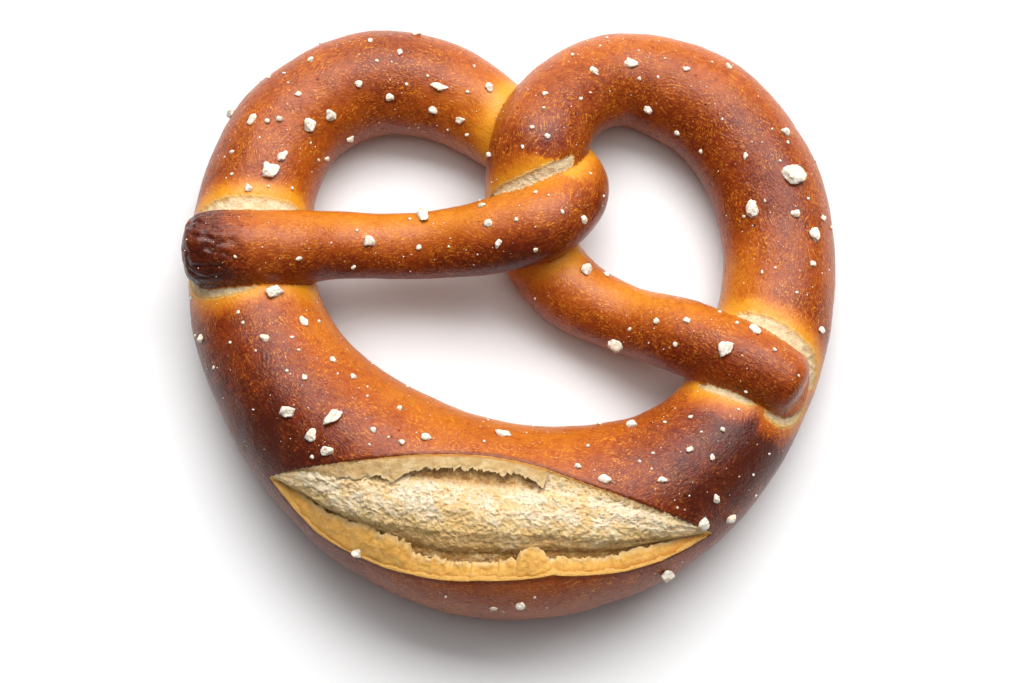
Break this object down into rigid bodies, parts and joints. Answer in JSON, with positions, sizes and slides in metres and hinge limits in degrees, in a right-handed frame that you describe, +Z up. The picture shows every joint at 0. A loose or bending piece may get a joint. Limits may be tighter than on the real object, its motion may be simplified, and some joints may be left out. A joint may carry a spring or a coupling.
{
  "type": "baked salted soft pretzel",
  "caption": "Baked soft pretzel of one twisted rope of dough, with a fat burst belly, thin arms laid across the loops and coarse salt fused to its crust.",
  "frame": {"origin": "on the table, under the middle of the pretzel's box", "axes": "+Z up, +Y towards the two loops, +X to the right with the belly nearest"},
  "size_m": [0.1604, 0.1514, 0.0388],
  "materials": {
    "crust": "shiny brown baked lye crust",
    "crumb": "matte torn white crumb",
    "salt": "cloudy white coarse salt"
  },
  "bodies": {
    "root": {"pretzel": "crust"}
  },
  "joints": []
}
